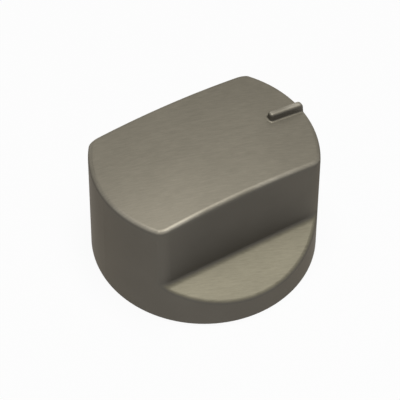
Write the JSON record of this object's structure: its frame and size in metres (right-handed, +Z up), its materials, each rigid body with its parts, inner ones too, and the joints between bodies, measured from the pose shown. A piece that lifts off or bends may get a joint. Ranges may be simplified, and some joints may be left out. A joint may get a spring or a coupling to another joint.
{
  "type": "hob knob",
  "caption": "Satin metallised hob knob: round base, grip bar between sloping finger recesses, raised pointer on a domed crown, and a split boss with a flat-sided spindle socket.",
  "frame": {"origin": "centre of the base circle, on the plane that the base rim rests on", "axes": "+Z up along the spindle axis, X along the grip bar with the pointer at +X, Y across the bar through the finger recesses"},
  "size_m": [0.042, 0.042, 0.0258],
  "materials": {
    "satin_nickel_finish": "satin",
    "spring_steel": "satin"
  },
  "bodies": {
    "root": {"knob_body": "satin_nickel_finish", "boss_spring": "spring_steel"}
  },
  "joints": []
}
